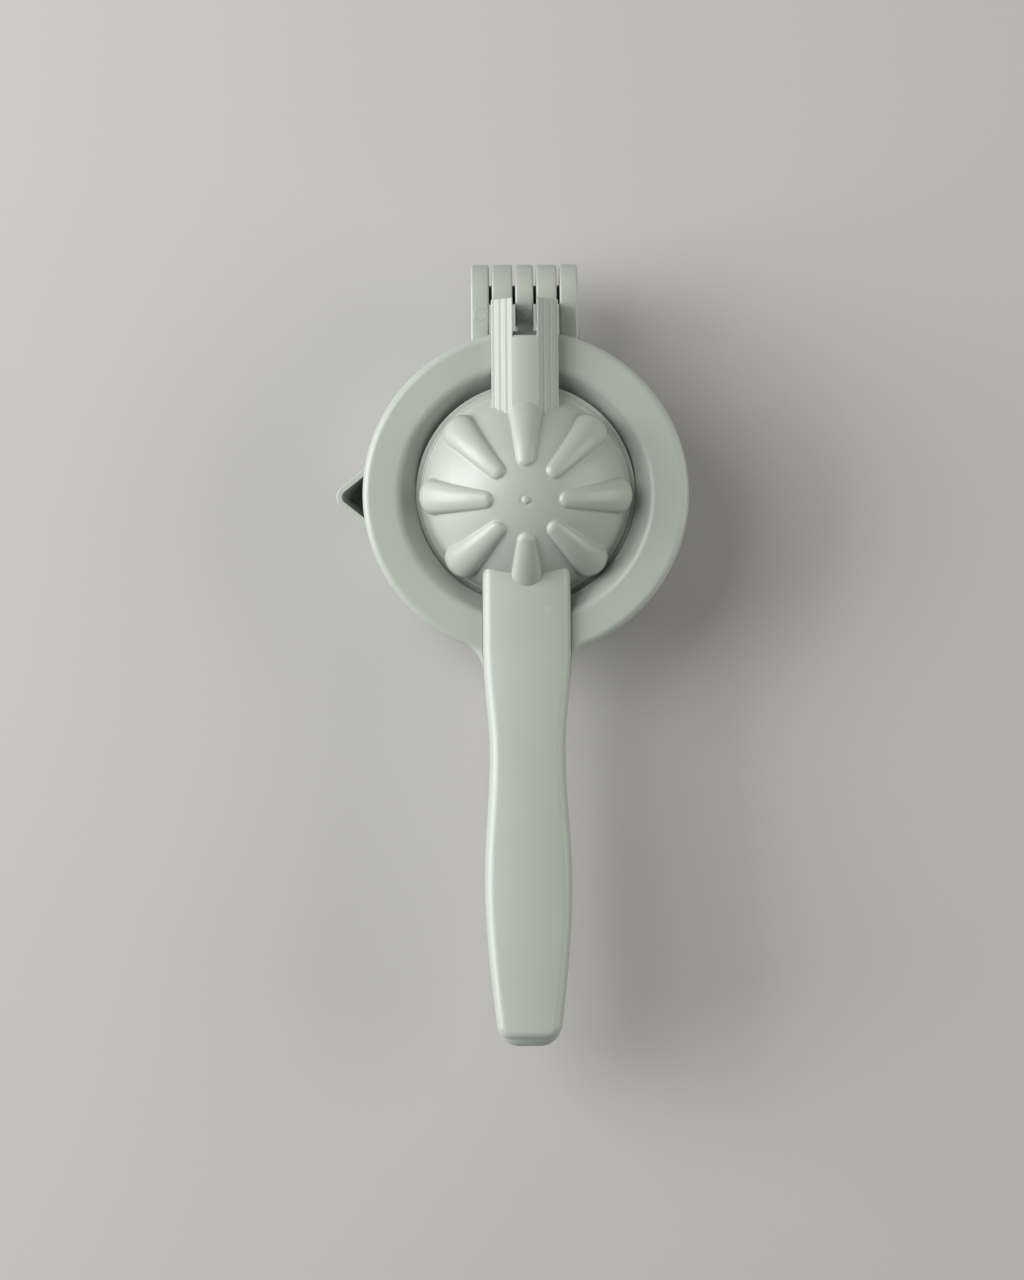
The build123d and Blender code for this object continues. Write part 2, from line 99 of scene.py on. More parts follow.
@dataclass
class Skin:
    """One piece of the visual model, gathered from closed islands."""

    name: str
    gathered: bmesh.types.BMesh = field(default_factory=bmesh.new)

    def add(self, *grids: Grid) -> None:
        """Add one closed island: its grids are welded where they meet and turned outwards.

        Args:
            grids: The grids that close the island between them.
        """
        starts = np.cumsum([0] + [grid.points[..., 0].size for grid in grids])
        points = np.concatenate([grid.points.reshape(-1, 3) for grid in grids]) * MM
        faces = np.concatenate([grid.quads() + start for grid, start in zip(grids, starts)])
        mesh = bpy.data.meshes.new("island")
        mesh.from_pydata(points.tolist(), [], faces.tolist())
        island = bmesh.new()
        island.from_mesh(mesh)
        bmesh.ops.remove_doubles(island, verts=island.verts, dist=MERGE)
        bmesh.ops.dissolve_degenerate(island, edges=island.edges, dist=MERGE)
        bmesh.ops.recalc_face_normals(island, faces=island.faces)
        island.to_mesh(mesh)
        island.free()
        self.gathered.from_mesh(mesh)
        bpy.data.meshes.remove(mesh)

    def place(
        self, body: Body, slot: Slot, material: Material, node: str, sharp: float = SHARP
    ) -> None:
        """Put the gathered surface into the scene as one piece.

        Args:
            body: The body that carries it.
            slot: The record's slot for its finish; not used.
            material: Its finish.
            node: The CAD node that it stands for.
            sharp: Angle above which an edge stays sharp.
        """
        mesh = bpy.data.meshes.new(self.name)
        self.gathered.to_mesh(mesh)
        self.gathered.free()
        mesh.polygons.foreach_set("use_smooth", np.ones(len(mesh.polygons), bool))
        mesh.set_sharp_from_angle(angle=sharp)
        mesh.materials.append(material)
        piece = bpy.data.objects.new(self.name, mesh)
        bpy.context.scene.collection.objects.link(piece)
        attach(piece, body.value)
        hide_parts(node)
        log.info("%s: %d faces on %s", self.name, len(mesh.polygons), body.value)


def at(*coordinates: Array) -> Array:
    """Points from two or three coordinate arrays, spread to one shape."""
    return np.stack(np.broadcast_arrays(*coordinates), -1).astype(float)


def unit(vectors: Array) -> Array:
    """Vectors scaled to length one."""
    return vectors / np.linalg.norm(vectors, axis=-1, keepdims=True)


def mix(a: Array, b: Array, share: float) -> Array:
    """A share of the way from one array to another."""
    return a * (1 - share) + b * share


def smooth_max(a: Array, b: Array, width: float) -> Array:
    """The larger of two surfaces, with their crease rounded over a width."""
    return 0.5 * (a + b + np.sqrt((a - b) ** 2 + width**2))


def smooth_step(value: Array, low: float, high: float) -> Array:
    """Rise from 0 at low to 1 at high along a cubic that starts and ends level."""
    t = np.clip((value - low) / (high - low), 0, 1)
    return t * t * (3 - 2 * t)


def arc(hub: Array, radius: float, start: float, end: float, points: int) -> Array:
    """Points of a circle round a hub, one row each, from a start angle to an end angle."""
    turn = np.linspace(start, end, points)
    return np.asarray(hub) + radius * at(np.cos(turn), np.sin(turn))


def quarter_round(radius: float, steps: int) -> Array:
    """A quarter circle from top to side: each row is how far in from the side and below the top."""
    turn = np.linspace(0, pi / 2, steps + 1)
    return radius * (1 - at(np.sin(turn), np.cos(turn)))


def round_corners(corners: Array, radius: float) -> Array:
    """A closed outline with each corner cut by a parabola that starts one radius before it.

    Args:
        corners: The outline's corners in order.
        radius: How far each cut reaches along the sides, up to half a side.

    Returns:
        Points of the outline, one row each.
    """
    here = np.asarray(corners, float)
    ends = []
    for side in (np.roll(here, 1, 0) - here, np.roll(here, -1, 0) - here):
        half = np.linalg.norm(side, axis=1, keepdims=True) / 2
        ends.append((here + unit(side) * np.minimum(radius, half))[:, None])
    t = np.linspace(0, 1, num=5)[None, :, None]
    cut = (1 - t) ** 2 * ends[0] + 2 * t * (1 - t) * here[:, None] + t**2 * ends[1]
    return cut.reshape(-1, 2)


def close_loop(right: Array) -> tuple[Array, Array]:
    """A loop from its right half, and its outward normals.

    Args:
        right: Points from the middle of the near end, down the right side, to the far end's middle.

    Returns:
        The loop's points, and a unit normal at each.
    """
    loop = np.concatenate([right, right[-2:0:-1] * np.array([-1, 1])])
    tangent = np.roll(loop, -1, 0) - np.roll(loop, 1, 0)
    return loop, unit(at(-tangent[:, 1], tangent[:, 0]))


def surface(rows: list[tuple[Array, Array]]) -> Grid:
    """A surface from rows of plan points, each with its height."""
    return Grid(np.stack([at(place[:, 0], place[:, 1], height) for place, height in rows]))


def tube(sections: Array) -> Grid:
    """A closed tube through sections of like outline, each end drawn together in its middle."""
    first, last = (np.broadcast_to(end.mean(0), end.shape)[None] for end in sections[[0, -1]])
    return Grid(np.concatenate([first, sections, last]))


def turned(radius: Array, height: Array, sides: int) -> Grid:
    """A profile of radii and heights turned about the Z axis."""
    turn = np.linspace(0, 2 * pi, sides, endpoint=False)
    return Grid(at(np.outer(radius, np.cos(turn)), np.outer(radius, np.sin(turn)), height[:, None]))


@dataclass(frozen=True)
class Hinge:
    """The axis that both arms share, and the barrels round it."""

    y: float = 56.0
    z: float = 22.0
    barrel_r: float = 8.399
    edge_r: float = 0.6
    flat_share: float = 1.2
    spoke_share: float = 0.15

    def plate(self, outline: Array, bore_r: float, middle_x: float, width: float) -> Grid:
        """An upright plate with rounded edges and a bore: its edge's section, round its outline.

        The section runs from the bore over one flat side, round the edge, over the other side and
        back through the bore. Each outline point faces the bore point in the same direction.

        Args:
            outline: Side view as (y, z) points, in view of the axis all round.
            bore_r: The bore's radius.
            middle_x: The plate's middle plane.
            width: Its thickness.

        Returns:
            A grid that closes both ways.
        """
        ahead = unit(np.roll(outline, -1, 0) - outline)
        tangent = ahead + np.roll(ahead, 1, 0)
        normal = unit(at(-tangent[:, 1], tangent[:, 0]))
        spoke = unit(outline - np.array([self.y, self.z]))
        normal *= np.sign(np.sum(normal * spoke, 1).mean())
        bore = np.array([self.y, self.z]) + bore_r * spoke
        flat = outline - self.edge_r * self.flat_share * normal
        half = width / 2
        rows = [(half, bore), (half, mix(flat, bore, self.spoke_share)), (half, flat)]
        for inset, drop in quarter_round(self.edge_r, steps=5):
            rows.append((half - drop, outline - inset * normal))
        rows += [(-x, place) for x, place in reversed(rows)]
        points = [at(middle_x + x, place[:, 0], place[:, 1]) for x, place in rows]
        return Grid(np.stack(points), wrap_rows=True)


@dataclass(frozen=True)
class HandlePlan:
    """Outline of a handle seen from above, by half widths along -Y, and the ribs under it."""

    grow: float = 0.0
    tip_y: float = -149.2
    halves: tuple[float, ...] = (12.2, 10.45, 11.9, 8.5)
    stations: tuple[float, ...] = (43.0, 67.3, 102.4)
    tip_taper: float = radians(7)
    corner_r: float = 4.0
    wall: float = 2.4
    rib_thick: float = 1.6
    rib_count: int = 5

    def half_width(self, y: Array) -> Array:
        """Half width at each y: the cubic spline through the stations, level above the first.

        Args:
            y: Places along the handle.

        Returns:
            The half widths.
        """
        knot = np.array([*self.stations, -self.tip_y])
        value = np.array(self.halves) + self.grow
        span = np.diff(knot)
        rise = np.diff(value) / span
        load = np.concatenate([[rise[0]], np.diff(rise), [-tan(self.tip_taper) - rise[-1]]]) * 6
        stiff = np.diag(2 * (np.r_[0, span] + np.r_[span, 0]))
        bend = np.linalg.solve(stiff + np.diag(span, 1) + np.diag(span, -1), load)
        t = np.clip(-np.asarray(y, float), knot[0], knot[-1])
        i = np.clip(np.searchsorted(knot, t, "right") - 1, 0, len(span) - 1)
        before, after, h = t - knot[i], knot[i + 1] - t, span[i]
        cubic = (bend[i] * after**3 + bend[i + 1] * before**3) / (6 * h)
        low, high = value[i] / h - bend[i] * h / 6, value[i + 1] / h - bend[i + 1] * h / 6
        return cubic + low * after + high * before

    def past_bend(self, y: Array) -> Array:
        """How far each y lies beyond the first station, towards the tip."""
        return -self.stations[0] - y

    def side(self, start_y: float, points: int) -> Array:
        """The right side, the tip's rounded corner, and the tip to its middle.

        Args:
            start_y: Where the side starts.
            points: Points from there to the corner.

        Returns:
            The points in order.
        """
        y = np.linspace(start_y, self.tip_y + self.corner_r * (1 - sin(self.tip_taper)), points)
        edge = at(self.half_width(y), y)
        hub = edge[-1] - self.corner_r * np.array([cos(self.tip_taper), -sin(self.tip_taper)])
        corner = arc(hub, self.corner_r, -self.tip_taper, -pi / 2, points=13)[1:]
        tip_x = np.linspace(corner[-1, 0], 0, num=8)[1:]
        return np.concatenate([edge, corner, at(tip_x, corner[-1, 1])])

    def rib_places(self, start_y: float) -> Array:
        """Places of the ribs, evenly spaced from a start to the tip."""
        count = np.arange(1, self.rib_count + 1)
        return start_y + (self.tip_y - start_y) * count / (self.rib_count + 1)

    def add_ribs(self, skin: Skin, y: Array, low: Array, high: Array) -> None:
        """Bars across the hollow under the handle.

        Args:
            skin: The piece that receives them.
            y: Place of each.
            low: Height of each foot.
            high: Height of each top.
        """
        half = self.half_width(y) - self.wall / 2
        back, front = y - self.rib_thick / 2, y + self.rib_thick / 2
        place = np.stack([back, front, front, back], -1)
        height = np.stack([low, low, high, high], -1)
        for i in range(self.rib_count):
            ends = np.array([-half[i], half[i]])[:, None]
            skin.add(tube(at(ends, place[i], height[i])))


@dataclass
class LowerArm:
    """Ring with skirt and funnel, three hinge lugs and the lower handle."""

    ring_r: float = 45.0
    top_z: float = 36.0
    foot_z: float = 20.0
    edge_r: float = 2.0
    rim_inset: float = 2.25
    foot_edge_r: float = 0.4
    funnel_r: float = 34.9
    funnel_edge_r: float = 3.0
    throat_r: float = 30.4
    throat_z: float = 31.2
    ledge_z: float = 24.0
    ledge_reach: float = 2.8
    ledge_thick: float = 2.0
    flare_r: float = 8.0
    flare_search_y: Pair = (-70.0, -44.0)
    root_depth: float = 12.0
    tip_depth: float = 9.5
    tip_inset: float = 6.0
    blend_y: float = -60.0
    blend_start_share: float = 0.86
    neck_turn_share: float = 0.7
    neck_shares: Pair = (0.93, 1.05)
    side_shares: Triple = (0.04, 0.5, 0.96)
    roof_shares: Triple = (0.02, 0.5, 1.0)
    lug_width: float = 5.0
    lug_pitch: float = 12.3
    lug_flare_r: float = 2.5
    lug_bore_r: float = 2.61
    hinge: Hinge = Hinge()
    plan: HandlePlan = HandlePlan(
        grow=0.1, tip_y=-152.3, halves=(12.2, 10.45, 11.9, 8.1), corner_r=6.0
    )

    def right_side(self) -> Array:
        """The right half of the plan outline: ring, concave flare, handle side and tip.

        The flare touches ring and handle, so its hub is the place on the handle side's parallel
        that lies a flare radius off the ring.

        Returns:
            Its points from the hinge side to the tip's middle.
        """
        y = np.linspace(*self.flare_search_y, num=400)
        edge = at(self.plan.half_width(y), y)
        slope = np.gradient(edge[:, 0], y)
        normal = unit(at(1, -slope))
        hubs = edge + self.flare_r * normal
        off_ring = np.linalg.norm(hubs, axis=1) - self.ring_r - self.flare_r
        best = np.argmin(np.abs(off_ring))
        meet = np.arctan2(hubs[best, 1], hubs[best, 0])
        to_side = pi + np.arctan2(normal[best, 1], normal[best, 0])
        ring = arc((0, 0), self.ring_r, pi / 2, meet, points=240)
        flare = arc(hubs[best], self.flare_r, meet + pi, to_side, points=26)[1:-1]
        return np.concatenate([ring, flare, self.plan.side(edge[best, 1], points=150)])

    def inner_edge(self, loop: Array, radius: float) -> tuple[Array, Array]:
        """Where the top runs to from each outline point: the mouth, or the handle's middle line.

        Args:
            loop: The plan outline.
            radius: The funnel mouth's radius.

        Returns:
            A point for each outline point, and a mask of those on the mouth.
        """
        turn = np.arctan2(loop[:, 1], np.abs(loop[:, 0]))
        neck_turn = np.arctan2(self.blend_y * self.neck_turn_share, self.plan.halves[0])
        share = smooth_step(-loop[:, 1], self.ring_r * self.blend_start_share, -self.blend_y)
        turn = mix(np.maximum(turn, neck_turn), -pi / 2, share)
        on_mouth = loop[:, 1] >= self.blend_y
        mouth = radius * at(np.sign(loop[:, 0]) * np.cos(turn), np.sin(turn))
        run = (loop[:, 1] - self.blend_y) / (self.plan.tip_y - self.blend_y)
        middle_y = -radius + run * (self.plan.tip_y + self.tip_inset + radius)
        return np.where(on_mouth[:, None], mouth, at(0, middle_y)), on_mouth

    def under_z(self, y: Array) -> Array:
        """Height of the foot: the skirt's, then up to the handle's underside past the neck.

        Args:
            y: Places along the arm.

        Returns:
            The heights.
        """
        run = np.clip((y + self.ring_r) / (self.plan.tip_y + self.ring_r), 0, 1)
        handle = self.top_z - mix(self.root_depth, self.tip_depth, run)
        neck = np.array(self.neck_shares) * self.ring_r
        return mix(self.foot_z, handle, smooth_step(-y, *neck))

    def build_body(self, skin: Skin) -> None:
        """Carry the wall's section round the plan outline, and turn the funnel inside it.

        The section runs from the mouth over the flat top and the rounded edge, down the side,
        round the foot and up the inner wall. The funnel's profile closes it from the mouth's top
        to its underside.

        Args:
            skin: The piece that receives it.
        """
        loop, normal = close_loop(self.right_side())
        wall = self.plan.wall
        plate_z = self.top_z - wall
        slope = (self.funnel_r - self.throat_r) / (self.top_z - self.throat_z)
        fall = np.arctan(1 / slope)
        mouth_r = self.funnel_r + self.funnel_edge_r * tan(fall / 2)
        under_r = self.throat_r + wall + slope * (plate_z - self.throat_z)
        inner, on_mouth = self.inner_edge(loop, mouth_r)
        inner_under = np.where(on_mouth[:, None], inner * under_r / mouth_r, inner)
        inner_wall = loop - wall * normal
        rim = loop - self.rim_inset * normal
        foot = self.under_z(loop[:, 1])
        side_top, side_foot = self.top_z - self.edge_r, foot + self.foot_edge_r
        foot_round = quarter_round(self.foot_edge_r, steps=3)

        rows = [(mix(inner, rim, share), self.top_z) for share in np.linspace(0, 1, num=7)]
        for inset, drop in quarter_round(self.edge_r, steps=10):
            rows.append((loop - inset * normal, self.top_z - drop))
        rows += [(loop, mix(side_top, side_foot, share)) for share in self.side_shares]
        rows += [(loop - inset * normal, foot + drop) for inset, drop in foot_round[::-1]]
        rows += [(loop - (wall - inset) * normal, foot + drop) for inset, drop in foot_round]
        rows.append((inner_wall, plate_z))
        rows += [(mix(inner_wall, inner_under, share), plate_z) for share in self.roof_shares]

        ledge_r, back_r = self.throat_r - self.ledge_reach, self.throat_r + wall
        low_z = self.ledge_z - self.ledge_thick
        lip = arc((mouth_r, self.top_z - self.funnel_edge_r), self.funnel_edge_r,
                  pi / 2, pi / 2 + fall, points=9)
        profile = np.concatenate([lip, [
            (self.throat_r, self.throat_z), (self.throat_r, self.ledge_z), (ledge_r, self.ledge_z),
            (ledge_r, low_z), (back_r, low_z), (back_r, self.throat_z), (under_r, plate_z),
        ]])
        mouth = inner[on_mouth] / mouth_r
        x, y = np.outer(profile[:, 0], mouth[:, 0]), np.outer(profile[:, 0], mouth[:, 1])
        skin.add(surface(rows), Grid(at(x, y, profile[:, 1:])))

    def build_ribs(self, skin: Skin) -> None:
        """Bars across the hollow of the handle, and the skirt's wall across its root.

        Args:
            skin: The piece that receives them.
        """
        roof = self.top_z - self.plan.wall / 2
        y = self.plan.rib_places(-self.ring_r)
        self.plan.add_ribs(skin, y, self.under_z(y) + self.foot_edge_r, np.full_like(y, roof))
        reach = self.plan.halves[0] / self.ring_r
        turn = np.linspace(-reach, reach, num=24)[:, None] - pi / 2
        inner_r, low = self.ring_r - self.plan.wall, self.foot_z + self.foot_edge_r
        radius = np.array([inner_r, self.ring_r, self.ring_r, inner_r])
        height = np.array([low, low, roof, roof])
        skin.add(tube(at(radius * np.cos(turn), radius * np.sin(turn), height)))

    def lug_outline(self, root_y: float) -> Array:
        """Side view of a lug: round over the pin, then straight back into the ring's wall.

        Args:
            root_y: Where it ends inside the wall.

        Returns:
            Its outline as (y, z) points.
        """
        top_z = self.hinge.z + self.hinge.barrel_r
        nose = arc((self.hinge.y, self.hinge.z), self.hinge.barrel_r, pi / 2, -pi / 2, points=60)
        share = np.linspace(0, 1, num=14)[1:, None]
        low = mix(nose[-1], np.array([self.ring_r, self.foot_z]), share)
        back = np.array([[root_y, self.foot_z], [root_y, top_z]])
        return np.concatenate([nose, low, back, mix(back[-1], nose[0], share[:-1])])

    def build_lugs(self, skin: Skin) -> None:
        """Three flat lugs with rounded edges and a bore, and the flares beside the outer two.

        Args:
            skin: The piece that receives them.
        """
        wall, edge_r = self.plan.wall, self.hinge.edge_r
        for middle in (-self.lug_pitch, 0.0, self.lug_pitch):
            outline = self.lug_outline(sqrt((self.ring_r - wall / 2) ** 2 - middle**2))
            skin.add(self.hinge.plate(outline, self.lug_bore_r, middle, self.lug_width))
        lug_x = self.lug_pitch + self.lug_width / 2
        hub_x = lug_x + self.lug_flare_r
        hub_y = sqrt((self.ring_r + self.lug_flare_r) ** 2 - hub_x**2)
        flare = arc((hub_x, hub_y), self.lug_flare_r, pi, pi + np.arctan2(hub_y, hub_x), points=12)
        deep = flare[-1] * (1 - wall / self.ring_r / 2)
        buried = [deep, (lug_x - edge_r, deep[1]), (lug_x - edge_r, flare[0, 1])]
        x, y = np.concatenate([flare, buried]).T
        levels = np.array([self.foot_z, self.hinge.z + self.hinge.barrel_r - edge_r])
        for hand in (1, -1):
            skin.add(tube(at(hand * x, y, levels[:, None])))

    def build(self, plastic: Material) -> None:
        """Make the lower arm as one piece.

        Args:
            plastic: Its finish.
        """
        skin = Skin("lower_arm_moulding")
        self.build_body(skin)
        self.build_ribs(skin)
        self.build_lugs(skin)
        skin.place(Body.FRAME, Slot.PLASTIC, plastic, "lower_arm")


@dataclass
class UpperArm:
    """Fluted press cap, crowned upper handle, stepped hinge beam and its two legs."""

    cap_z: float = 31.0
    cap_tilt: float = radians(7)
    rim_r: float = 28.8
    cap_height: float = 20.0
    cap_wall: float = 2.4
    cap_sides: int = 480
    crease: float = 0.22
    ring_bias: float = 0.85
    level_rounds: int = 12
    flute_count: int = 8
    flute_reach: Pair = (11.3, 25.6)
    flute_half: Pair = (2.35, 4.9)
    flute_raise: Pair = (1.3, 3.2)
    flute_side_share: float = 0.96
    groove_half: Pair = (0.9, 3.2)
    groove_raise: Pair = (0.9, 2.3)
    flange_r: float = 29.1
    flange_thick: float = 1.4
    flange_round: float = 0.3
    flange_fillet: float = 0.7
    lip_r: float = 30.34
    lip_thick: float = 0.5
    lip_round: float = 0.15
    gate_r: float = 0.8
    gate_height: float = 0.5
    gate_flat_share: float = 0.6
    moat_reach_share: float = 1.7
    moat_width_share: float = 0.5
    moat_depth_share: float = 0.3
    arm_under_z: float = 36.6
    arm_top_z: float = 40.2
    grip_rise: float = radians(4)
    belly_rise: float = radians(1.8)
    bend_r: float = 60.0
    crown_r: float = 52.0
    roof_fall: float = 1.27
    grip_edge_r: float = 2.5
    grip_foot_r: float = 0.5
    grip_rim_inset: float = 2.7
    grip_tip_inset: float = 7.5
    grip_side_shares: Triple = (0.05, 0.5, 0.95)
    grip_roof_shares: Triple = (0.0, 0.5, 1.0)
    foot_gap: float = 0.02
    bay_start_y: float = -47.4
    bay_ramp: float = 2.0
    rib_start_y: float = -45.0
    rib_bite: float = 0.8
    beam_top_z: float = 44.6
    beam_half: float = 9.2
    beam_flat_half: float = 3.8
    beam_crown: float = 0.5
    beam_steps: int = 3
    beam_front_y: float = 53.2
    beam_root_y: float = 10.0
    beam_end_round: float = 0.5
    beam_end_shrink: float = 0.12
    rail_hub_x: float = 4.125
    rail_hub_share: float = 0.45
    tread_share: float = 0.6
    tread_fall: float = 0.2
    riser_fall: float = 1.2
    step_round: float = 0.26
    strip_lap: float = 0.42
    strip_lift: float = 0.02
    strip_foot: float = 1.0
    notch_half: float = 3.3
    notch_end_y: float = 43.0
    notch_round: float = 1.0
    leg_back_y: float = 46.2
    leg_set_back: float = 0.06
    leg_overlap: float = 2.4
    leg_round: float = 0.4
    leg_shy: float = 0.02
    leg_front_share: float = 0.9
    knuckle_width: float = 5.7
    knuckle_pitch: float = 6.15
    knuckle_bore_r: float = 2.66
    hinge: Hinge = Hinge()
    plan: HandlePlan = HandlePlan()

    @property
    def sphere_r(self) -> float:
        """Radius of the cap's sphere, from its height and rim."""
        return (self.cap_height**2 + self.rim_r**2) / (2 * self.cap_height)

    @property
    def sphere_drop(self) -> float:
        """How far the sphere's middle lies below the rim's plane."""
        return self.sphere_r - self.cap_height

    def buried(self, x: Array, z: Array, hand: int) -> Array:
        """Y at which a line along Y meets the middle of the cap's wall.

        Args:
            x: The line's x.
            z: The line's height.
            hand: 1 for the hinge side, -1 for the handle's.

        Returns:
            The y values.
        """
        middle_y = self.sphere_drop * sin(self.cap_tilt)
        middle_z = self.cap_z - self.sphere_drop * cos(self.cap_tilt)
        left = (self.sphere_r - self.cap_wall / 2) ** 2 - x**2 - (z - middle_z) ** 2
        return middle_y + hand * np.sqrt(np.maximum(left, 0))

    def drops(self, tilt: Array, turn: Array, radius: float, halves: Pair, raises: Pair) -> Array:
        """Height of the flutes over a sphere, at a tilt from the cap's axis and a turn round it.

        A flute is a drop along a meridian. Across it the height is half an ellipse of the distance
        from the nearest point between the flute's ends, whose sides run out straight at the foot.

        Args:
            tilt: Angle of each point from the cap's axis.
            turn: Angle of each point round the axis.
            radius: The sphere's radius.
            halves: Half width at the inner and the outer end.
            raises: Height at the inner and the outer end.

        Returns:
            The heights, below zero away from the flutes.
        """
        ends = np.arcsin(np.array(self.flute_reach) / self.sphere_r)
        here = np.clip(tilt, *ends)
        share = (here - ends[0]) / (ends[1] - ends[0])
        pitch = 2 * pi / self.flute_count
        off = (turn + pitch / 2) % pitch - pitch / 2
        cosine = np.cos(tilt) * np.cos(here) + np.sin(tilt) * np.sin(here) * np.cos(off)
        away = radius * np.arccos(np.clip(cosine, -1, 1)) / mix(*halves, share)
        side = self.flute_side_share
        round_top = np.sqrt(1 - np.minimum(away, side) ** 2)
        straight = np.maximum(away - side, 0) * side / sqrt(1 - side**2)
        return mix(*raises, share) * (round_top - straight)

    def cap_surface(
        self, radius: float, halves: Pair, raises: Pair, level: float, rings: int
    ) -> Array:
        """A sphere with flutes, as distance from its middle over tilt and turn, down to a level.

        Args:
            radius: The sphere's radius.
            halves: Half width of the flutes at their two ends.
            raises: Height of the flutes at their two ends.
            level: Where it ends above the rim's plane.
            rings: Points from crown to rim.

        Returns:
            Points in the cap's frame, crown first.
        """
        turn = np.linspace(0, 2 * pi, self.cap_sides, endpoint=False)[None, :]

        def reach_at(tilt: Array) -> Array:
            """Distance to the surface at a tilt, with the crease beside a flute rounded."""
            raised = self.drops(tilt, turn, radius, halves, raises)
            return radius + smooth_max(np.zeros_like(raised), raised, self.crease)

        end = self.sphere_drop + level
        last = np.full_like(turn, acos(end / radius))
        for _ in range(self.level_rounds):
            last = np.arccos(np.clip(end / reach_at(last), -1, 1))
        tilt = np.linspace(0, 1, rings)[:, None] ** self.ring_bias * last
        reach = reach_at(tilt)
        flat = reach * np.sin(tilt)
        return at(flat * np.cos(turn), flat * np.sin(turn), reach * np.cos(tilt) - self.sphere_drop)

    def build_cap(self, skin: Skin) -> None:
        """Outer surface, stepped flange and inner surface of the cap, with the gate's nub on top.

        Args:
            skin: The piece that receives it.
        """
        foot = self.flange_thick + self.flange_fillet
        outer = self.cap_surface(self.sphere_r, self.flute_half, self.flute_raise, foot, rings=140)
        inner_r = self.sphere_r - self.cap_wall
        inner = self.cap_surface(inner_r, self.groove_half, self.groove_raise, 0.0, rings=50)
        off_axis = np.linalg.norm(outer[..., :2], axis=-1) / self.gate_r
        nub = smooth_step(-off_axis, -1, -self.gate_flat_share)
        moat = np.exp(-(((off_axis - self.moat_reach_share) / self.moat_width_share) ** 2))
        outer[..., 2] += (nub - moat * self.moat_depth_share) * self.gate_height
        bend, sink = quarter_round(self.flange_fillet, steps=4)[1:].T
        foot_r = np.linalg.norm(outer[-1, :, :2], axis=-1)
        room = self.flange_r - 2 * self.flange_round - foot_r
        spread = 1 + np.minimum(sink[:, None], room) / foot_r
        level = (self.flange_thick + bend)[:, None]
        fillet = at(outer[-1, :, 0] * spread, outer[-1, :, 1] * spread, level)
        inset, drop = quarter_round(self.flange_round, steps=4).T
        lip_inset, lip_drop = quarter_round(self.lip_round, steps=4).T
        lip_r = self.lip_r - lip_inset
        edge = turned(
            np.concatenate([self.flange_r - inset, [self.flange_r], lip_r, lip_r[::-1]]),
            np.concatenate([self.flange_thick - drop, [self.lip_thick],
                            self.lip_thick - lip_drop, lip_drop[::-1]]),
            self.cap_sides,
        ).points
        edge[len(inset):, :, 1] /= cos(self.cap_tilt)
        x, y, z = np.moveaxis(np.concatenate([outer, fillet, edge, inner[::-1]]), -1, 0)
        level_y = y * cos(self.cap_tilt) - z * sin(self.cap_tilt)
        level_z = y * sin(self.cap_tilt) + z * cos(self.cap_tilt)
        skin.add(Grid(at(x, level_y, level_z + self.cap_z)))

    def spine_z(self, y: Array) -> Array:
        """Height of the handle's crown line: level, then an arc, then a straight rise.

        Args:
            y: Places along the handle.

        Returns:
            The heights.
        """
        run = self.plan.past_bend(y)
        half = self.bend_r * tan(self.grip_rise / 2)
        bent = np.clip(run + half, 0, self.bend_r * sin(self.grip_rise))
        arc_z = self.bend_r - np.sqrt(self.bend_r**2 - bent**2)
        return self.arm_top_z + np.where(run > half, run * tan(self.grip_rise), arc_z)

    def under_z(self, y: Array) -> Array:
        """Height of the handle's underside: level, then a straight rise."""
        return self.arm_under_z + np.maximum(self.plan.past_bend(y), 0) * tan(self.belly_rise)

    def roof_z(self, y: Array) -> Array:
        """Height of the hollow's roof: a wall below the crown's lowest side."""
        rise = np.maximum(self.plan.past_bend(y), 0) * tan(self.grip_rise)
        return self.arm_top_z - self.plan.wall - self.roof_fall + rise

    def build_grip(self, skin: Skin) -> None:
        """Carry the handle's section round its plan outline, from the crown line to the roof.

        Heights come from the crown: an arc of the crown's radius across, the crown line along. The
        edge is a quarter round, the side upright, and the root is drawn back into the cap's wall.

        Args:
            skin: The piece that receives it.
        """
        wall, root_y = self.plan.wall, -self.rim_r / 2
        root_x = np.linspace(0, self.plan.halves[0], num=12)[:-1]
        side = self.plan.side(root_y, points=230)
        loop, normal = close_loop(np.concatenate([at(root_x, root_y), side]))
        middle_y = np.clip(loop[:, 1], self.plan.tip_y + self.grip_tip_inset, root_y)
        middle = at(0, middle_y)

        def top(place: Array) -> Array:
            """Height of the crowned top over a place."""
            crown = self.crown_r - np.sqrt(self.crown_r**2 - place[:, 0] ** 2)
            return self.spine_z(place[:, 1]) - crown

        under = self.under_z(loop[:, 1])
        bay = smooth_step(-loop[:, 1], -self.bay_start_y, -self.bay_start_y + self.bay_ramp)
        roof = under + np.maximum(self.roof_z(loop[:, 1]) - under, 0) * bay
        inner = loop - wall * normal
        side_top, side_foot = top(loop) - self.grip_edge_r, under + self.grip_foot_r
        foot_round = quarter_round(self.grip_foot_r, steps=3)
        rim = loop - self.grip_rim_inset * normal

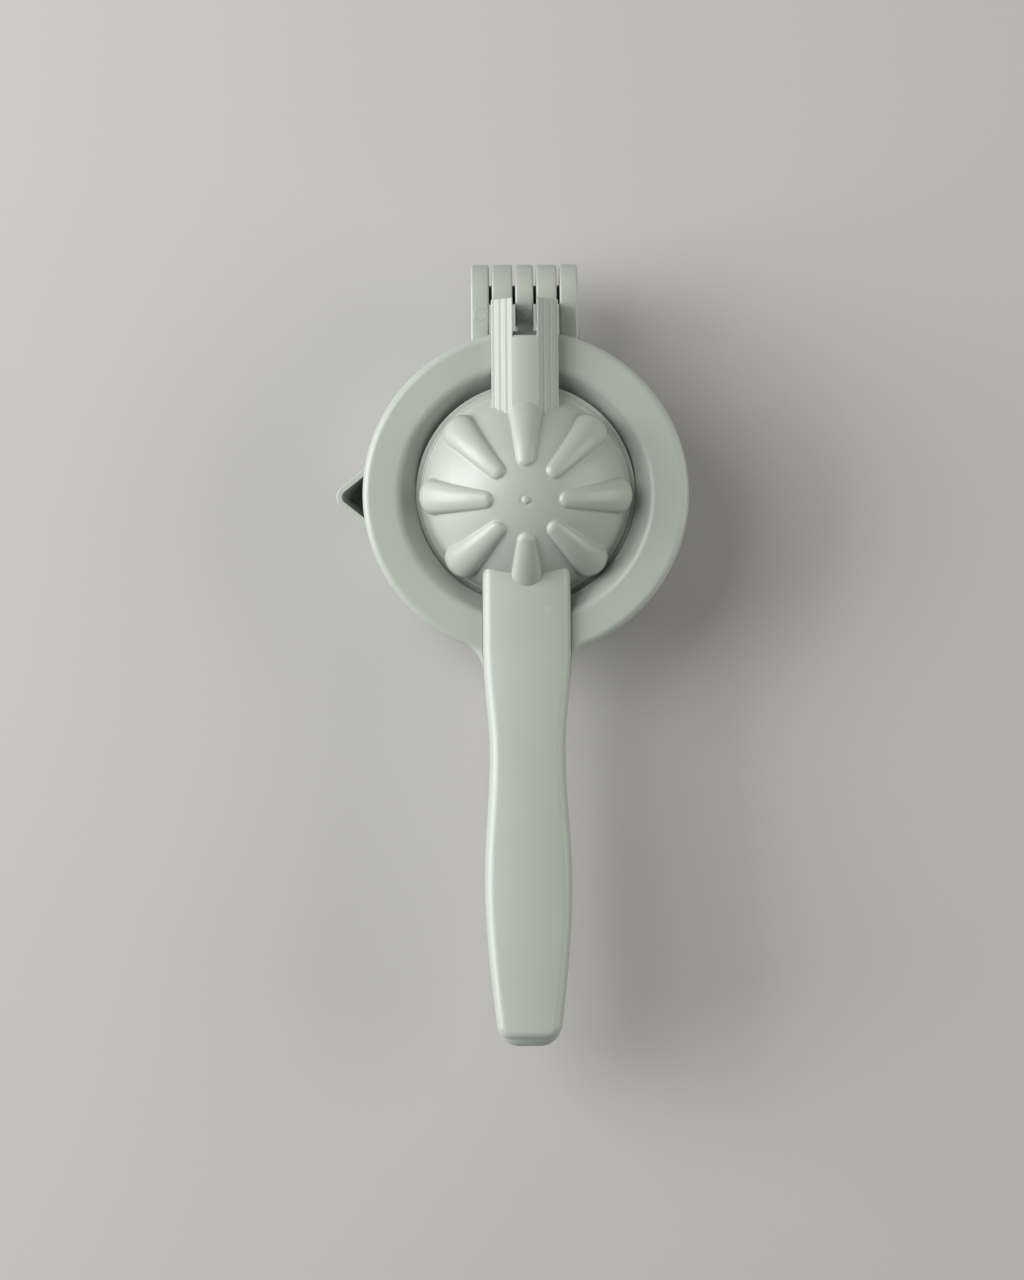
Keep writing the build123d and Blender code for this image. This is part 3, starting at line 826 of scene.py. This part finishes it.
        crowned = mix(middle, rim, np.linspace(0, 1, num=13)[:, None, None])
        rows = [(place, top(place)) for place in crowned]
        for inset, drop in quarter_round(self.grip_edge_r, steps=10):
            place = loop - inset * normal
            rows.append((place, top(place) - drop))
        rows += [(loop, mix(side_top, side_foot, share)) for share in self.grip_side_shares]
        rows += [(loop - inset * normal, under + drop) for inset, drop in foot_round[::-1]]
        rows.append((loop - (wall - self.foot_gap) * normal, under))
        rows += [(mix(inner, middle, share), roof) for share in self.grip_roof_shares]
        grid = surface(rows)
        x, y, z = np.moveaxis(grid.points, -1, 0)
        grid.points[..., 1] = np.minimum(y, self.buried(x, z, -1))
        skin.add(grid)

    def build_grip_ribs(self, skin: Skin) -> None:
        """Bars across the hollow under the handle.

        Args:
            skin: The piece that receives them.
        """
        y = self.plan.rib_places(self.rib_start_y)
        low = self.under_z(y) + self.grip_foot_r / 2
        self.plan.add_ribs(skin, y, low, self.roof_z(y) + self.rib_bite)

    def rail_corners(self) -> Array:
        """Section of the beam's right rail: inner wall, crowned flat, sloping steps, outer wall.

        Returns:
            Its corners as (x, z) points, the last two along its foot.
        """
        step = (self.beam_half - self.beam_flat_half) / self.beam_steps
        share = (self.notch_half / self.beam_flat_half) ** 2
        x, z = self.beam_flat_half, self.beam_top_z - self.beam_crown
        corners = [(self.notch_half, self.beam_top_z - self.beam_crown * share), (x, z)]
        for _ in range(self.beam_steps):
            corners.append((x + step * (1 - self.tread_share), z - self.riser_fall))
            x, z = x + step, z - self.riser_fall - self.tread_fall
            corners.append((x, z))
        return np.array(corners + [(x, self.arm_under_z), (self.notch_half, self.arm_under_z)])

    def build_rails(self, skin: Skin) -> None:
        """Two stepped rails that run from the hinge back into the middle of the cap's wall.

        A rail is its section carried along Y, drawn in a little towards a hub at its front end.

        Args:
            skin: The piece that receives them.
        """
        corners = self.rail_corners()
        outline = round_corners(corners, self.step_round)
        hub = np.array([self.rail_hub_x, mix(corners[-2, 1], corners[2, 1], self.rail_hub_share)])
        turn = np.linspace(pi / 2, 0, num=6)
        front = self.beam_front_y - self.beam_end_round * (1 - np.sin(turn))
        shrink = 1 - self.beam_end_shrink * (1 - np.cos(turn))
        fork = np.linspace(front[-1], self.notch_end_y, num=6)[1:]
        along = np.concatenate([
            front, fork, np.linspace(self.notch_end_y, self.beam_root_y, num=24)[1:],
        ])
        scale = np.concatenate([shrink, np.ones(len(along) - len(shrink))])
        x, z = np.moveaxis(hub + (outline - hub) * scale[:, None, None], -1, 0)
        y = np.maximum(along[:, None], self.buried(x, z, 1))
        for hand in (1, -1):
            grid = tube(at(hand * x, y, z))
            grid.points[0] = (hand * hub[0], along[0], hub[1])
            skin.add(grid)

    def build_strip(self, skin: Skin) -> None:
        """The crowned strip between the rails, which ends at the notch.

        Its section is a crown over a flat foot, and it runs back into the middle of the cap's wall.

        Args:
            skin: The piece that receives it.
        """
        half = self.notch_half + self.strip_lap
        x = np.linspace(-half, half, num=21)
        top_z = self.beam_top_z + self.strip_lift
        crown = top_z - self.beam_crown * (x / self.beam_flat_half) ** 2
        inset, drop = quarter_round(self.notch_round, steps=6)[::-1].T
        end_y = self.notch_end_y
        back = np.linspace(end_y - self.notch_round, self.beam_root_y, num=24)[1:]
        y = np.concatenate([[end_y], end_y - inset, back])
        end_fall = self.beam_top_z - self.arm_under_z - self.strip_foot
        fall = np.concatenate([[end_fall], drop, np.zeros_like(back)])
        z = crown - fall[:, None]
        upper = at(x, np.maximum(y[:, None], self.buried(x, z, 1)), z)
        foot_y = np.maximum(y, self.buried(0.0, self.arm_under_z, 1))
        lower = at(x[::-1], foot_y[:, None], self.arm_under_z)
        skin.add(tube(np.concatenate([upper, lower], 1)))

    def build_legs(self, skin: Skin) -> None:
        """Two knuckles turned round the pin, each carried by an upright leg under its rail.

        Args:
            skin: The piece that receives them.
        """
        hinge = self.hinge
        axis, radius = (hinge.y, hinge.z), hinge.barrel_r
        knuckle = arc(axis, radius, 0, 2 * pi, points=97)[:-1]
        run, rise = hinge.y - self.leg_back_y, radius / 2
        touch = pi - np.arctan2(rise, run) + acos(radius / sqrt(run**2 + rise**2))
        tangent = arc(axis, radius, touch, touch, points=1)[0]
        high = self.arm_under_z + self.leg_overlap
        front_y = self.beam_front_y - self.leg_set_back
        post = round_corners([
            tangent, (self.leg_back_y, hinge.z + rise), (self.leg_back_y, high),
            (front_y, high), (front_y, hinge.z + radius * self.leg_front_share), axis,
        ], self.leg_round)
        inset, drop = quarter_round(hinge.edge_r, steps=4).T
        half = self.knuckle_width / 2 - self.leg_shy
        level = np.concatenate([half - drop, drop[::-1] - half])[:, None]
        depth = np.concatenate([inset, inset[::-1]])[:, None, None]
        spoke = post - post.mean(0)
        y, z = np.moveaxis(post.mean(0) + spoke - depth * unit(spoke), -1, 0)
        for x in (self.knuckle_pitch, -self.knuckle_pitch):
            skin.add(hinge.plate(knuckle, self.knuckle_bore_r, x, self.knuckle_width))
            skin.add(tube(at(x + level, y, z)))

    def build(self, plastic: Material) -> None:
        """Make the upper arm's cap, handle and hinge beam, which stand for one CAD node.

        Args:
            plastic: Their finish.
        """
        for name, steps in (
            ("press_cap", (self.build_cap,)),
            ("upper_handle", (self.build_grip, self.build_grip_ribs)),
            ("hinge_beam", (self.build_rails, self.build_strip, self.build_legs)),
        ):
            skin = Skin(name)
            for step in steps:
                step(skin)
            skin.place(Body.PRESS, Slot.PLASTIC, plastic, "upper_arm")


@dataclass(frozen=True)
class Beak:
    """V-shaped bulge of a cup's wall: height, reach, side slope and nose radius at three levels."""

    levels: Triple
    apex: Triple
    slope: Triple
    nose_r: Triple
    shrink: float = 2.0

    def radius(self, turn: Array, z: Array) -> Array:
        """Radius of the V in polar form: two straight sides, and a circle that touches both.

        Args:
            turn: Angle from the V's direction.
            z: Height.

        Returns:
            The radii, shrinking fast below the lowest level.
        """
        below = np.minimum(z - self.levels[0], 0)
        reach = np.interp(z, self.levels, self.apex) + self.shrink * below
        side = np.arctan(np.interp(z, self.levels, self.slope))
        nose = np.interp(z, self.levels, self.nose_r)
        hub = reach - nose / np.sin(side)
        touch = np.arctan2(nose * np.cos(side), hub + nose * np.sin(side))
        away = np.abs(turn)
        straight = reach * np.sin(side) / np.sin(np.minimum(side + away, pi / 2))
        near = np.minimum(away, touch)
        bow = hub * np.cos(near) + np.sqrt(nose**2 - (hub * np.sin(near)) ** 2)
        return np.where(away < touch, bow, straight)


@dataclass
class JuiceCup:
    """Round cup with a collar inside the skirt and a V-shaped pouring lip."""

    foot_r: float = 36.0
    belly: Pair = (42.2, 9.0)
    shoulder_r: float = 44.95
    shoulder_z: float = 20.0
    wall: float = 1.8
    floor: float = 2.2
    foot_edge_r: float = 1.2
    rim_round: float = 0.35
    neck_z: float = 15.0
    collar_r: float = 42.3
    collar_top_z: float = 25.0
    collar_sink: float = 0.4
    collar_chamfer: float = 0.3
    lip_bias: float = 1.6
    lip: Beak = Beak(
        (3.0, 9.0, 20.0), (38.8, 50.6, 55.2), (0.714, 0.802, 0.795), (0.7, 2.6, 3.6)
    )
    channel: Beak = Beak(
        (5.8, 10.6, 20.0), (41.4, 49.4, 52.6), (0.933, 0.8, 0.794), (0.5, 1.6, 2.0)
    )
    crease: float = 0.9
    channel_crease: float = 0.5

    def side_r(self, z: Array) -> Array:
        """Radius of the cup's side: the circle through foot, belly and shoulder.

        Args:
            z: Heights.

        Returns:
            The radii.
        """
        low, mid = np.array([self.foot_r, 0.0]), np.array(self.belly)
        high = np.array([self.shoulder_r, self.shoulder_z])
        squares = [mid @ mid - low @ low, high @ high - low @ low]
        hub = np.linalg.solve(2 * np.array([mid - low, high - low]), squares)
        return hub[0] + np.sqrt(np.sum((low - hub) ** 2) - (z - hub[1]) ** 2)

    def build_shell(self, skin: Skin) -> None:
        """The cup's wall and floor, with the lip as a bulge of the wall.

        The wall is a radius over turn and height: the larger of the turned side and the lip's V.

        Args:
            skin: The piece that receives it.
        """
        turn = np.linspace(-pi, pi, num=480, endpoint=False)
        turn = np.sign(turn) * np.abs(turn / pi) ** self.lip_bias * pi
        z = np.linspace(self.foot_edge_r, self.shoulder_z - self.rim_round, num=44)[:, None]
        outer = smooth_max(self.side_r(z), self.lip.radius(turn, z), self.crease)
        inset, drop = quarter_round(self.foot_edge_r, steps=5)[..., None].swapaxes(0, 1)
        rim_inset, rim_drop = quarter_round(self.rim_round, steps=4)[-2::-1, :, None].swapaxes(0, 1)
        inner_z = np.linspace(self.shoulder_z, self.floor + self.foot_edge_r, num=36)[:, None]
        neck = smooth_step(inner_z, self.neck_z, self.shoulder_z)
        hollow = self.side_r(inner_z) - self.wall - neck * (self.shoulder_r - self.collar_r)
        inner = smooth_max(hollow, self.channel.radius(turn, inner_z), self.channel_crease)
        middle = np.zeros((1, len(turn)))
        radius = np.concatenate([
            middle, outer[0] - inset, outer[1:], outer[-1] - rim_inset,
            inner, inner[-1] - inset[-2::-1], middle,
        ])
        height = np.concatenate([
            np.zeros((1, 1)), drop, z[1:], self.shoulder_z - rim_drop,
            inner_z, self.floor + drop[-2::-1], np.full((1, 1), self.floor),
        ])
        skin.add(Grid(at(-radius * np.cos(turn), -radius * np.sin(turn), height)))

    def build_collar(self, skin: Skin) -> None:
        """The ring that stands on the shoulder, inside the skirt, with a chamfered top.

        Args:
            skin: The piece that receives it.
        """
        outer, inner = self.collar_r, self.collar_r - self.wall
        low, high, cut = self.shoulder_z - self.collar_sink, self.collar_top_z, self.collar_chamfer
        radius = np.array([outer, outer, outer - cut, inner + cut, inner, inner])
        ring = turned(radius, np.array([low, high - cut, high, high, high - cut, low]), sides=240)
        ring.wrap_rows = True
        skin.add(ring)

    def build(self, plastic: Material) -> None:
        """Make the cup as one piece.

        Args:
            plastic: Its finish.
        """
        skin = Skin("juice_cup_moulding")
        self.build_shell(skin)
        self.build_collar(skin)
        skin.place(Body.FRAME, Slot.PLASTIC, plastic, "juice_cup")


@dataclass
class HingePin:
    """Plain steel pin with chamfered ends."""

    radius: float = 2.6
    half: float = 14.8
    chamfer: float = 0.4
    hinge: Hinge = Hinge()

    def build(self, steel: Material) -> None:
        """Turn the pin's profile about the hinge axis.

        Args:
            steel: Its finish.
        """
        skin = Skin("hinge_pin_rod")
        small, end = self.radius - self.chamfer, self.half - self.chamfer
        radius = np.array([0, small, self.radius, self.radius, small, 0])
        along = np.array([-self.half, -self.half, -end, end, self.half, self.half])
        y, z, x = np.moveaxis(turned(radius, along, sides=72).points, -1, 0)
        skin.add(Grid(at(x, self.hinge.y + y, self.hinge.z + z)))
        skin.place(Body.FRAME, Slot.STEEL, steel, "hinge_pin")


@dataclass
class Strainer:
    """Slotted disc with its ribbed reamer, kept as the CAD node's own shape."""

    sharp: float = radians(30)

    def build(self, plastic: Material) -> None:
        """Weld a copy of the CAD node's mesh and shade it smooth.

        Args:
            plastic: Its finish.
        """
        skin = Skin("strainer_moulding")
        skin.gathered.from_mesh(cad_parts["strainer"].data)
        bmesh.ops.remove_doubles(skin.gathered, verts=skin.gathered.verts, dist=MERGE)
        skin.place(Body.FRAME, Slot.PLASTIC, plastic, "strainer", self.sharp)


def feed(tree: Tree, node: Node, inputs: dict[str | int, object]) -> None:
    """Set or link a node's inputs.

    Args:
        tree: The tree that holds the node.
        node: The node.
        inputs: A value, or a socket to link from, for each named or numbered input.
    """
    for label, value in inputs.items():
        if isinstance(value, Socket):
            tree.links.new(value, node.inputs[label])
        else:
            node.inputs[label].default_value = value


def wired(tree: Tree, kind: str, inputs: dict[str | int, object], **settings: object) -> Node:
    """A new shader node with its settings made and its inputs fed.

    Args:
        tree: The tree that receives it.
        kind: Its type, without the prefix that all shader nodes share.
        inputs: What its inputs get.
        settings: Its own settings, such as an operation.

    Returns:
        The node.
    """
    node = tree.nodes.new(f"ShaderNode{kind}")
    for label, value in settings.items():
        setattr(node, label, value)
    feed(tree, node, inputs)
    return node


def reckon(tree: Tree, operation: str, *values: object) -> Socket:
    """Result of a math node on values or sockets."""
    return wired(tree, "Math", dict(enumerate(values)), operation=operation).outputs["Value"]


def ramp(tree: Tree, value: Socket, start: Pair, end: Pair, style: str = "SMOOTHSTEP") -> Socket:
    """A value mapped from a start range to an end range, whose ends may be sockets."""
    inputs = dict(zip(RANGE_INPUTS, (value, *start, *end)))
    return wired(tree, "MapRange", inputs, interpolation_type=style).outputs["Result"]


def blend(tree: Tree, factor: Socket, first: object, second: object) -> Socket:
    """Colour between two colours, which may be sockets, by a factor."""
    inputs = {"Factor": factor, "A": first, "B": second}
    return wired(tree, "Mix", inputs, data_type="RGBA").outputs["Result"]


def node_group(name: str, inputs: dict[str, float], outputs: list[str]) -> Tree:
    """An empty shader group with value inputs and outputs.

    Args:
        name: Its name.
        inputs: Each input's name and default.
        outputs: The outputs' names.

    Returns:
        The group, holding its input and output nodes named "in" and "out".
    """
    group = bpy.data.node_groups.new(name, "ShaderNodeTree")
    new_socket = group.interface.new_socket
    for label, value in inputs.items():
        socket = new_socket(label, in_out="INPUT", socket_type="NodeSocketFloat")
        socket.default_value = value
    for label in outputs:
        new_socket(label, in_out="OUTPUT", socket_type="NodeSocketFloat")
    group.nodes.new("NodeGroupInput").name = "in"
    group.nodes.new("NodeGroupOutput").name = "out"
    return group


def moulded_grain() -> Tree:
    """Group for a moulded skin: slow clouding, fine peel and rare specks, by Object coordinates.

    Returns:
        The group, with outputs Cloud, Peel and Specks between 0 and 1.
    """
    scales = {"Cloud Scale": 40.0, "Peel Scale": 1500.0, "Speck Scale": 260.0, "Speck Share": 0.15}
    group = node_group("moulded_grain", scales, ["Cloud", "Peel", "Specks"])
    given, out = group.nodes["in"].outputs, group.nodes["out"]
    place = wired(group, "TexCoord", {}).outputs["Object"]
    for label, detail in (("Cloud", 3.0), ("Peel", 2.0)):
        inputs = {"Vector": place, "Scale": given[f"{label} Scale"], "Detail": detail}
        feed(group, out, {label: wired(group, "TexNoise", inputs).outputs["Fac"]})
    cells = wired(group, "TexVoronoi", {"Vector": place, "Scale": given["Speck Scale"]}).outputs
    speck_edge = (0.07, 0.03)
    dot = ramp(group, cells["Distance"], speck_edge, (0.0, 1.0))
    tone = wired(group, "SeparateColor", {"Color": cells["Color"]}).outputs["Red"]
    rare = reckon(group, "LESS_THAN", tone, given["Speck Share"])
    feed(group, out, {"Specks": reckon(group, "MULTIPLY", dot, rare)})
    return group


def spot_distance(group: Tree, half_pitch: Socket | None = None) -> Socket:
    """Distance in plan from a spot at the group's inputs X and Y, by Object coordinates.

    Args:
        group: The group that receives the nodes.
        half_pitch: Half the pitch at which the spot repeats along X, if it does.

    Returns:
        The distance.
    """
    given = group.nodes["in"].outputs
    place = wired(group, "TexCoord", {}).outputs["Object"]
    parts = wired(group, "SeparateXYZ", {"Vector": place}).outputs
    away = {axis: reckon(group, "SUBTRACT", parts[axis], given[axis]) for axis in ("X", "Y")}
    if half_pitch:
        away["X"] = reckon(group, "PINGPONG", away["X"], half_pitch)
    offset = wired(group, "CombineXYZ", away).outputs["Vector"]
    return wired(group, "VectorMath", {0: offset}, operation="LENGTH").outputs["Value"]


def ejector_marks() -> Tree:
    """Group for a row of fine rings that ejector pins leave, one in each pitch along X.

    Returns:
        The group, with the output Ring, 1 on the rings.
    """
    sizes = {"X": 0.0, "Y": 0.0498, "Half Pitch": 0.00615, "Radius": 0.0016, "Width": 0.00022}
    group = node_group("ejector_marks", sizes, ["Ring"])
    given = group.nodes["in"].outputs
    off_ring = reckon(group, "SUBTRACT", spot_distance(group, given["Half Pitch"]), given["Radius"])
    gap = reckon(group, "ABSOLUTE", off_ring)
    ring = ramp(group, gap, (given["Width"], 0.0), (0.0, 1.0))
    feed(group, group.nodes["out"], {"Ring": ring})
    return group


def scuffed_patch() -> Tree:
    """Group for a small worn patch: broken pale flecks that thin out from its middle.

    Returns:
        The group, with the output Scuff, 1 on the flecks.
    """
    sizes = {"X": 0.0058, "Y": -0.0318, "Reach": 0.0042, "Fleck Scale": 1900.0, "Fade": 0.08}
    group = node_group("scuffed_patch", sizes, ["Scuff"])
    given = group.nodes["in"].outputs
    place = wired(group, "TexCoord", {}).outputs["Object"]
    inputs = {"Vector": place, "Scale": given["Fleck Scale"], "Detail": 3.0}
    noise = wired(group, "TexNoise", inputs).outputs["Fac"]
    middle_to_rim = (0.5, 0.85)
    sparse = ramp(group, spot_distance(group), (0.0, given["Reach"]), middle_to_rim)
    over = reckon(group, "SUBTRACT", noise, sparse)
    fleck = ramp(group, over, (0.0, given["Fade"]), (0.0, 1.0))
    feed(group, group.nodes["out"], {"Scuff": fleck})
    return group


def new_paint(name: str) -> tuple[Material, Tree, Node]:
    """A new material, with its tree and its shader.

    Args:
        name: Its name.

    Returns:
        The material, its node tree and its Principled shader.
    """
    material = bpy.data.materials.new(name)
    material.use_nodes = True
    return material, material.node_tree, material.node_tree.nodes["Principled BSDF"]


@dataclass(frozen=True)
class MouldedPlastic:
    """Satin sage plastic with slow clouding, fine peel, specks, ejector marks and a worn patch."""

    light: Triple = (0.435, 0.475, 0.415)
    dark: Triple = (0.405, 0.445, 0.385)
    speck: Triple = (0.30, 0.31, 0.27)
    scuff: Triple = (0.60, 0.64, 0.58)
    cloud_range: Pair = (0.3, 0.7)
    roughness: Pair = (0.28, 0.37)
    refraction: float = 1.49
    mark_depth: float = 0.00008
    peel_height: float = 0.00002
    peel_strength: float = 0.4

    def make(self, grain: Tree, marks: Tree, wear: Tree) -> Material:
        """Build the material.

        Args:
            grain: The moulded grain group.
            marks: The ejector marks group.
            wear: The scuffed patch group.

        Returns:
            The material.
        """
        material, tree, shader = new_paint("sage_plastic")
        skin, rings, patch = (
            wired(tree, "Group", {}, node_tree=group).outputs for group in (grain, marks, wear)
        )
        tint = blend(tree, skin["Cloud"], (*self.dark, 1), (*self.light, 1))
        tint = blend(tree, skin["Specks"], tint, (*self.speck, 1))
        tint = blend(tree, patch["Scuff"], tint, (*self.scuff, 1))
        peel = wired(tree, "Bump", {
            "Height": skin["Peel"], "Distance": self.peel_height, "Strength": self.peel_strength,
        }).outputs["Normal"]
        dents = {"Height": rings["Ring"], "Distance": self.mark_depth, "Normal": peel}
        feed(tree, shader, {
            "Base Color": tint,
            "Roughness": ramp(tree, skin["Cloud"], self.cloud_range, self.roughness, "LINEAR"),
            "Normal": wired(tree, "Bump", dents).outputs["Normal"],
            "IOR": self.refraction,
        })
        return material


@dataclass(frozen=True)
class DrawnSteel:
    """Plain dark pin steel with fine marks from drawing."""

    light: Triple = (0.12, 0.12, 0.13)
    dark: Triple = (0.06, 0.06, 0.07)
    roughness: Pair = (0.28, 0.42)

    def make(self, grain: Tree) -> Material:
        """Build the material.

        Args:
            grain: The moulded grain group.

        Returns:
            The material.
        """
        material, tree, shader = new_paint("pin_steel")
        skin = wired(tree, "Group", {}, node_tree=grain).outputs
        feed(tree, shader, {
            "Base Color": blend(tree, skin["Cloud"], (*self.dark, 1), (*self.light, 1)),
            "Roughness": ramp(tree, skin["Peel"], (0.0, 1.0), self.roughness, "LINEAR"),
            "Metallic": 1.0,
        })
        return material


def add_object(name: str, data: bpy.types.ID) -> bpy.types.Object:
    """A new object of the studio, linked to the scene.

    Args:
        name: Its name.
        data: Its mesh, lamp or camera.

    Returns:
        The object.
    """
    thing = bpy.data.objects.new(name, data)
    bpy.context.scene.collection.objects.link(thing)
    return thing


@dataclass(frozen=True)
class SoftLamp:
    """A large square lamp that faces the squeezer, placed by direction, rise and range."""

    name: str
    turn: float
    rise: float
    range: float
    size: float
    watts: float
    tint: Triple

    def hang(self, aim_y: float) -> None:
        """Put the lamp into the scene.

        Args:
            aim_y: Place along Y that it faces.
        """
        lamp = bpy.data.lights.new(self.name, "AREA")
        lamp.shape = "SQUARE"
        lamp.size = self.size
        lamp.energy = self.watts
        lamp.color = self.tint
        holder = add_object(self.name, lamp)
        flat = self.range * cos(self.rise)
        x, y = flat * cos(self.turn), flat * sin(self.turn) + aim_y
        holder.location = (x, y, self.range * sin(self.rise))
        holder.rotation_euler = (0, pi / 2 - self.rise, self.turn)


@dataclass
class Studio:
    """Pale floor, two soft lamps on the left, a weak one on the right, fill and camera overhead."""

    floor_colour: Triple = (0.50, 0.49, 0.48)
    floor_roughness: float = 0.9
    floor_half: float = 3.0
    lamps: tuple[SoftLamp, ...] = (
        SoftLamp("window_lamp", radians(152), radians(48), 1.25, 0.8, 7.6, (1.0, 1.0, 1.0)),
        SoftLamp("left_lamp", radians(174), radians(22), 1.25, 0.9, 17.4, (0.99, 1.0, 1.0)),
        SoftLamp("right_lamp", radians(5), radians(24), 1.2, 0.9, 6.7, (1.0, 0.98, 0.9)),
    )
    fill: float = 0.164
    camera_height: float = 1.0
    camera_aim: Pair = (-0.0041, -0.0403)
    camera_turn: float = -0.0075
    focal_px: float = 3503.0
    frame_px: float = 1280.0
    sensor: float = 36.0

    def lay_floor(self) -> None:
        """Lay one large square of matt floor under the squeezer.
        """
        half = self.floor_half
        corners = [(-half, -half, 0), (half, -half, 0), (half, half, 0), (-half, half, 0)]
        mesh = bpy.data.meshes.new("floor")
        mesh.from_pydata(corners, [], [(0, 1, 2, 3)])
        paint, tree, shader = new_paint("floor_paint")
        colour = (*self.floor_colour, 1)
        feed(tree, shader, {"Base Color": colour, "Roughness": self.floor_roughness})
        mesh.materials.append(paint)
        add_object("floor", mesh)

    def light(self) -> None:
        """Hang the lamps and fill the world with an even white.

        All lamps face the place that the camera looks at.
        """
        for lamp in self.lamps:
            lamp.hang(self.camera_aim[1])
        world = bpy.data.worlds.new("studio")
        world.use_nodes = True
        sky = world.node_tree.nodes["Background"]
        feed(world.node_tree, sky, {"Color": (1, 1, 1, 1), "Strength": self.fill})
        bpy.context.scene.world = world

    def aim_camera(self) -> None:
        """Set the camera overhead, looking straight down, and the plain view transform.

        The lens follows from the focal length in pixels of the upright frame.
        """
        lens = bpy.data.cameras.new("overhead")
        lens.sensor_width = self.sensor
        lens.lens = self.focal_px / self.frame_px * self.sensor
        camera = add_object("overhead", lens)
        camera.location = (*self.camera_aim, self.camera_height)
        camera.rotation_euler = (0, 0, self.camera_turn)
        bpy.context.scene.camera = camera
        bpy.context.scene.view_settings.view_transform = "Standard"


def main() -> None:
    """Build the finishes, the squeezer's pieces and the studio.
    """
    logging.basicConfig(level=logging.INFO, format="%(name)s: %(message)s")
    grain = moulded_grain()
    plastic = MouldedPlastic().make(grain, ejector_marks(), scuffed_patch())
    LowerArm().build(plastic)
    UpperArm().build(plastic)
    JuiceCup().build(plastic)
    Strainer().build(plastic)
    HingePin().build(DrawnSteel().make(grain))
    studio = Studio()
    studio.lay_floor()
    studio.light()
    studio.aim_camera()


if __name__ == "__main__":
    main()
